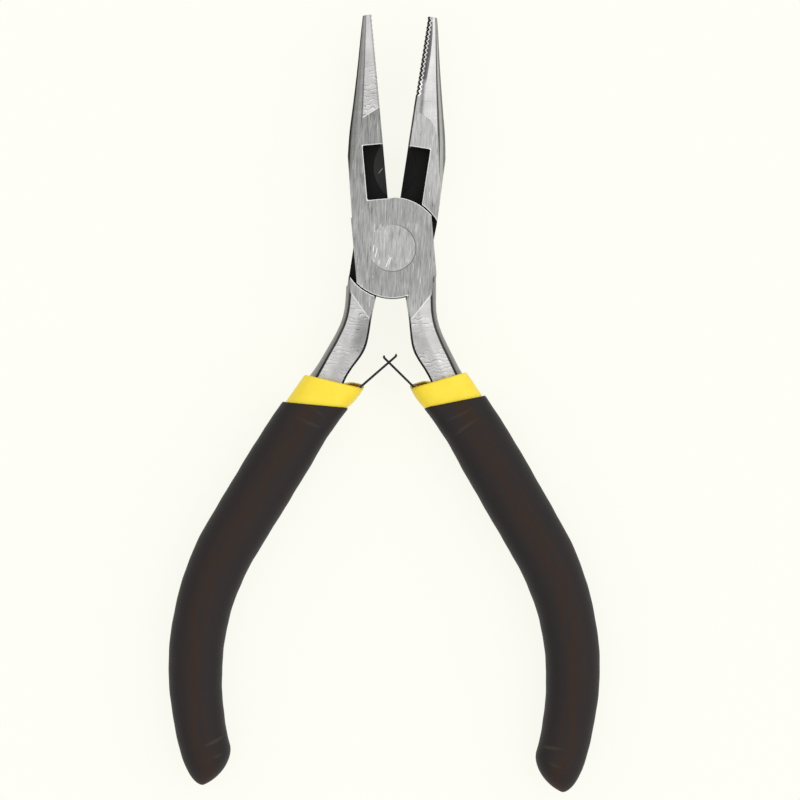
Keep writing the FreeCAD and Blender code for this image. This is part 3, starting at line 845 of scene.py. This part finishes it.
def painted_edge_highlights(g, f):
    """Painted highlights: bright lines where a ground face ends at a recess, at an arc of the joint or at the
    raw skin.
    """
    above, below = g.ramp(f.y, -0.1, 0.1), g.ramp(f.y, 0.1, -0.1)

    def arc(half, low, high, start, end):
        return g.times(half, g.within(f.radius, low, high), g.ramp(f.x, start, end))

    plate = g.either(arc(above, PLATE_TOP_R - HIGHLIGHT_WIDTH, PLATE_TOP_R + 0.03, -0.1, 0.1),
                     arc(below, PLATE_LOW_R - HIGHLIGHT_WIDTH, PLATE_LOW_R + 0.03, 2.0, 1.8))
    shoulder = g.either(arc(above, SHOULDER_TOP_R - 0.03, SHOULDER_TOP_R + HIGHLIGHT_WIDTH, 0.1, -0.1),
                        arc(below, SHOULDER_LOW_R - 0.03, SHOULDER_LOW_R + HIGHLIGHT_WIDTH, 1.5, 1.7))
    face_end = g.times(g.ramp(f.height, FACE_Z - 0.048, FACE_Z - 0.034),
                       g.ramp(f.height, FACE_Z - 0.005, FACE_Z - 0.015),
                       g.ramp(f.level, 0.85, 0.95), g.either(f.nose, f.tang), 0.6)
    return g.either(g.times(f.ground, pocket_area(g, f, HIGHLIGHT_WIDTH, HIGHLIGHT_WIDTH, 0.03)),
                    g.times(f.ground, f.is_front, plate), g.times(f.ground, f.is_back, shoulder),
                    g.times(face_end, g.either(f.is_front, f.tang)))


def ring_shown(g, x, y):
    """The dark line round the rivet's head fades out at its upper left."""
    return g.ramp(g.plus(x, g.times(y, -0.6)), -4.0, 1.5)


def half_steel(kind):
    """Forged steel of one half: raw skin, ground faces, black oxide in the recesses, painted highlights along
    edges, and painted shade on steep sides, in steps and at the teeth.
    """
    g = Graph("forged_steel_" + kind)
    f = Zones(g, kind)
    fine, broad, deep, dark_lines = brushed(g, g.in_mm())
    fold_highlight, fold_shade, fold = wrinkles(g, f)
    shade = painted_side_shade(g, f)
    oxide, oxide_colour = oxide_look(g, f)
    outline, teeth_highlight = toothed_edge(g, f)
    inner_edge = g.times(g.ramp(f.x, -0.34, -0.25), g.ramp(f.y, 8.0, 8.6), g.ramp(f.level, 0.5, 0.8),
                         g.lerp(f.is_front, 0.95, 0.3))
    ring = g.times(g.near(f.radius, RIVET_R + 0.02, 0.04, 0.05), f.ground, ring_shown(g, f.x, f.y))
    wear_and_highlight, rounded = edge_wear_and_highlight(g, 0.16)

    # painted shade: the steep sides go near-black, dull and not metallic
    skin = g.lerp(shade, with_shaded_bands(g, f, skin_tone(g, f, kind, fold_highlight, fold_shade)), 0.015)
    colour = g.blend(f.ground, g.grey(g.math("MAXIMUM", skin, 0.015), 1.0, 0.992, 0.985),
                     g.grey(ground_tone(g, f, kind, fine, broad, deep, dark_lines), 1.0, 1.0, 0.985))
    # painted highlight: bright lines along the ground faces' edges
    colour = g.blend(g.times(painted_edge_highlights(g, f), 0.85), colour, (0.93, 0.93, 0.92, 1.0))
    colour = g.blend(g.times(chamfer_face(g, f), 0.95), colour,
                     g.grey(g.plus(0.08, g.times(f.mottled, 0.14)), 1.0, 1.0, 0.99))
    # painted shade: dark lines in the steps beside the bands
    colour = g.blend(g.times(step_shade_lines(g, f), 0.95), colour, linear(24, 24, 24))
    # painted highlight: bright line behind the teeth
    colour = g.blend(teeth_highlight, colour, (0.92, 0.92, 0.91, 1.0))
    # painted shade: the teeth's dark outline and notch floors; the jaw's inner edge gets the same dark line
    colour = g.blend(g.either(outline, inner_edge), colour, linear(26, 26, 26))
    colour = g.blend(g.times(ring, 0.7), colour, RING_GREY)
    colour = g.blend(oxide, colour, oxide_colour)
    # painted highlight: the ground faces are brightened where their edges turn
    colour = g.blend(g.times(wear_and_highlight, f.ground, 0.5), colour, (0.9, 0.9, 0.89, 1.0))

    roughness = g.lerp(f.ground, g.plus(0.34, g.times(f.mottled, 0.2)), g.plus(0.33, g.times(fine, 0.16)))
    roughness = g.lerp(oxide, roughness, g.plus(0.42, g.times(f.speck, 0.12)))
    roughness = g.lerp(shade, roughness, 1.0)
    rough_skin = g.plus(g.times(fold, 1.3), g.times(fold_shade, -1.2), g.times(f.mottled, 1.2),
                        g.times(f.speck, 0.12))
    heights = g.plus(g.times(fine, f.ground, 0.5), g.times(deep, f.ground, -0.8),
                     g.times(g.minus(1.0, f.ground), g.minus(1.0, oxide), rough_skin),
                     g.times(oxide, f.speck, 0.15))
    metal = g.lerp(g.either(oxide, inner_edge, outline), g.lerp(shade, 1.0, 0.0), 0.35)
    return g.surface(colour, roughness, g.bump(heights, 0.03 * MM, rounded), metal, Specular_IOR_Level=0.15)


def scratch_mark(g, x, y, cx, cy, lean, reach):
    """1 along one short scratch, centred at cx, cy and leaning by so many degrees."""
    c, n = math.cos(math.radians(lean)), math.sin(math.radians(lean))
    dx, dy = g.minus(x, cx), g.minus(y, cy)
    across = g.minus(g.times(dx, c), g.times(dy, n))
    along = g.plus(g.times(dx, n), g.times(dy, c))
    return g.times(g.ramp(g.size(across), 0.12, 0.05), g.ramp(g.size(along), reach, reach * 0.6))


def rivet_steel():
    """Ground rivet head: the same lines as the plate, a little lighter, with a few stray scratches."""
    g = Graph("rivet_steel_ground")
    x, y, _ = g.split(g.closed_frame("front")[0])
    fine, broad, deep, dark_lines = brushed(g, g.scaled(g.in_mm(), (1.0, 1.25, 1.0)))
    radius = g.math("SQRT", g.plus(g.times(x, x), g.times(y, y)))
    tone = g.plus(g.swing(fine, 0.5), g.swing(broad, 0.28), g.times(deep, 0.22), g.times(dark_lines, -0.14),
                  0.44)
    scratch = g.either(*[scratch_mark(g, x, y, *mark) for mark in RIVET_SCRATCHES])
    rim = g.times(g.ramp(radius, RIVET_R - 0.1, RIVET_R - 0.03), ring_shown(g, x, y))
    colour = g.blend(g.times(scratch, 0.95), g.grey(tone, 1.0, 1.0, 0.985), linear(246, 246, 244))
    colour = g.blend(g.times(rim, 0.75), colour, RING_GREY)
    heights = g.plus(g.times(fine, 0.5), g.times(deep, -0.8), g.times(scratch, -2.0))
    return g.surface(colour, g.plus(0.31, g.times(fine, 0.16)), g.bump(heights, 0.022 * MM), 1.0)


def spring_steel():
    """Blued spring leaf: near-black with a little grain and brighter worn edges."""
    g = Graph("blued_spring_steel")
    grain = g.noise(g.scaled(g.in_mm(), (3.0, 3.0, 0.4)), 1.0, 3.0)
    wear_and_highlight, rounded = edge_wear_and_highlight(g, 0.05)
    colour = g.blend(grain, linear(26, 26, 29), linear(52, 52, 56))
    colour = g.blend(g.times(wear_and_highlight, grain, 0.5), colour, linear(120, 120, 122))
    return g.surface(colour, g.plus(0.3, g.times(grain, 0.2)), g.bump(grain, 0.01 * MM, rounded), 0.8)


def small_rivet_steel():
    """Plain steel of the hidden spring rivets."""
    g = Graph("small_rivet_steel_turned")
    grain = g.noise(g.in_mm(), 3.0, 3.0)
    colour = g.blend(grain, linear(120, 119, 117), linear(178, 177, 174))
    return g.surface(colour, g.plus(0.3, g.times(grain, 0.2)), g.bump(grain, 0.01 * MM), 1.0)


def yellow_vinyl():
    """Dipped yellow vinyl: smooth, faintly uneven, with painted shade turning it orange-brown inside the
    mouth.
    """
    g = Graph("yellow_dipped_vinyl")
    rest = g.in_mm()
    cloud = g.noise(rest, 0.5, 3.0)
    pores = g.noise(rest, 5.0, 3.0, 0.6)
    inside = g.node("Attribute", attribute_name="inside").outputs["Fac"]
    colour = g.blend(cloud, linear(250, 216, 36), linear(255, 232, 74))
    colour = g.blend(g.ramp(pores, 0.68, 0.8), colour, linear(238, 196, 30))
    # painted shade: orange-brown on the mouth's inside wall
    colour = g.blend(g.times(inside, 0.9), colour, linear(214, 138, 46))
    heights = g.plus(g.times(cloud, 2.0), g.times(pores, 0.35))
    return g.surface(colour, g.plus(0.36, g.times(pores, 0.18)), g.bump(heights, 0.03 * MM),
                     Specular_IOR_Level=0.35)


def dark_vinyl():
    """Dipped dark vinyl: matt brown-black, browner along the middle, with a fine uneven skin."""
    g = Graph("dark_dipped_vinyl")
    rest = g.in_mm()
    across = g.node("Attribute", attribute_name="across").outputs["Fac"]
    along = g.node("Attribute", attribute_name="along").outputs["Fac"]
    crease = g.node("Attribute", attribute_name="crease").outputs["Fac"]
    path = g.node("CombineXYZ", {"X": g.times(across, 4.5), "Y": g.times(along, 0.16)}).outputs[0]
    streak = g.noise(path, 1.0, 3.0, 0.55)
    cloud = g.noise(rest, 0.16, 3.0, 0.6)
    skin = g.noise(rest, 2.6, 4.0, 0.6)
    grain = g.noise(rest, 9.0, 2.0, 0.5)
    middle = g.ramp(g.size(g.plus(across, -0.05)), 0.62, 0.05)
    brown = g.times(middle, g.ramp(streak, 0.3, 0.62))
    colour = g.blend(cloud, linear(38, 37, 36), linear(46, 39, 39))
    colour = g.blend(g.times(brown, 0.9), colour, linear(53, 37, 28))
    colour = g.blend(g.ramp(skin, 0.62, 0.8), colour, linear(56, 48, 42))
    colour = g.blend(g.ramp(crease, 0.02, 0.09), colour, linear(60, 54, 47))
    heights = g.plus(g.times(skin, 1.0), g.times(grain, 0.35), g.times(cloud, 1.5))
    return g.surface(colour, g.plus(0.5, g.times(skin, 0.16)), g.bump(heights, 0.03 * MM),
                     Specular_IOR_Level=0.16)


def floor_material():
    """Pale floor that glows a little, so the object's shadow on it stays faint."""
    g = Graph("studio_floor")
    cloud = g.noise(g.coordinates.outputs["Object"], 3.0, 2.0)
    colour = g.blend(cloud, (0.098, 0.098, 0.098, 1.0), (0.106, 0.106, 0.106, 1.0))
    return g.surface(colour, 0.9, g.bump(cloud, 0.0001), Specular_IOR_Level=0.1,
                     Emission_Color=(0.884, 0.884, 0.812, 1.0), Emission_Strength=1.0)


# ---------------------------------------------------------------- assembly

def finish_piece(obj, material, slot, body, *nodes):
    """Gives a new piece its material and its body, and hides the CAD nodes it stands for; the slot is not
    used.
    """
    obj.data.materials.clear()
    obj.data.materials.append(material)
    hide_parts(*nodes)
    if body:
        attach(obj, body)
    return obj


def dress(node, material):
    """Gives a kept CAD node its material."""
    for material_slot in frame["nodes"][node].material_slots:
        material_slot.link = "OBJECT"
        material_slot.material = material


dark = dark_vinyl()
yellow = yellow_vinyl()
leaf = spring_steel()
small = small_rivet_steel()
for kind, side in KINDS.items():
    dress(kind + "_half", half_steel(kind))
    dress(side + "_spring_rivet", small)
    finish_piece(grip(kind), dark, "black_pvc", kind, side + "_outer_grip")
    finish_piece(collar(kind), yellow, "yellow_pvc", kind, side + "_inner_sleeve")
    spring = finish_piece(leaf_spring(kind), leaf, "spring_steel", None, side + "_leaf_spring")
    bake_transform(spring)
dress("pivot_rivet", rivet_steel())

# ---------------------------------------------------------------- stage

FLOOR_Z = -0.00003            # just below the CAD's lowest point
# height above the horizon (sine) and brightness of the surroundings
SKY = [(0.0, 0.42), (0.35, 0.62), (0.6, 1.12), (0.86, 1.3), (0.97, 1.08), (1.0, 0.95)]
SKY_SIDES = {"From Min": -0.9, "From Max": 0.9, "To Min": 0.72, "To Max": 1.28}
VIEW_WIDTH = 0.1282           # frame width at the joint's mid-plane
VIEW_CENTRE = (0.00119, 0.00056)
VIEW_ROLL = math.radians(1.8)
LENS = 180.0
SENSOR = 36.0


def sky(tree):
    """Soft surroundings: dim at the horizon, brightest high up, and a little brighter on the right."""
    ways = tree.nodes.new("ShaderNodeTexCoord")
    parts = tree.nodes.new("ShaderNodeSeparateXYZ")
    height_ramp = tree.nodes.new("ShaderNodeValToRGB")
    side_ramp = tree.nodes.new("ShaderNodeMapRange")
    mixer = tree.nodes.new("ShaderNodeMix")
    background = tree.nodes.new("ShaderNodeBackground")
    output = tree.nodes.new("ShaderNodeOutputWorld")
    elements = height_ramp.color_ramp.elements
    elements.remove(elements[-1])
    elements[0].position = SKY[0][0]
    for sine, _ in SKY[1:]:
        elements.new(sine)
    for element, (_, bright) in zip(elements, SKY):
        element.color = (bright, bright, bright, 1.0)
    for key, value in SKY_SIDES.items():
        side_ramp.inputs[key].default_value = value
    mixer.data_type = "RGBA"
    mixer.blend_type = "MULTIPLY"
    mixer.inputs["Factor"].default_value = 1.0
    background.inputs["Strength"].default_value = 1.0
    tree.links.new(ways.outputs["Generated"], parts.inputs[0])
    tree.links.new(parts.outputs[2], height_ramp.inputs[0])
    tree.links.new(parts.outputs[0], side_ramp.inputs["Value"])
    tree.links.new(height_ramp.outputs[0], mixer.inputs[6])
    tree.links.new(side_ramp.outputs[0], mixer.inputs[7])
    tree.links.new(mixer.outputs[2], background.inputs["Color"])
    tree.links.new(background.outputs[0], output.inputs["Surface"])


bpy.ops.mesh.primitive_grid_add(x_subdivisions=4, y_subdivisions=4, size=12)
floor = bpy.context.object
floor.name = "studio_floor"
floor.location.z = FLOOR_Z
floor.data.materials.append(floor_material())

world = bpy.data.worlds.new("studio")
bpy.context.scene.world = world
world.use_nodes = True
world.node_tree.nodes.clear()
sky(world.node_tree)
bpy.context.scene.view_settings.view_transform = "Standard"

camera_data = bpy.data.cameras.new("camera")
camera_data.lens = LENS
camera_data.sensor_width = SENSOR
camera_data.clip_start = 0.01
camera_data.clip_end = 50.0
camera = bpy.data.objects.new("camera", camera_data)
bpy.context.scene.collection.objects.link(camera)
camera.location = (*VIEW_CENTRE, PIVOT.z + VIEW_WIDTH * LENS / SENSOR)
camera.rotation_euler = (0.0, 0.0, VIEW_ROLL)
bpy.context.scene.camera = camera
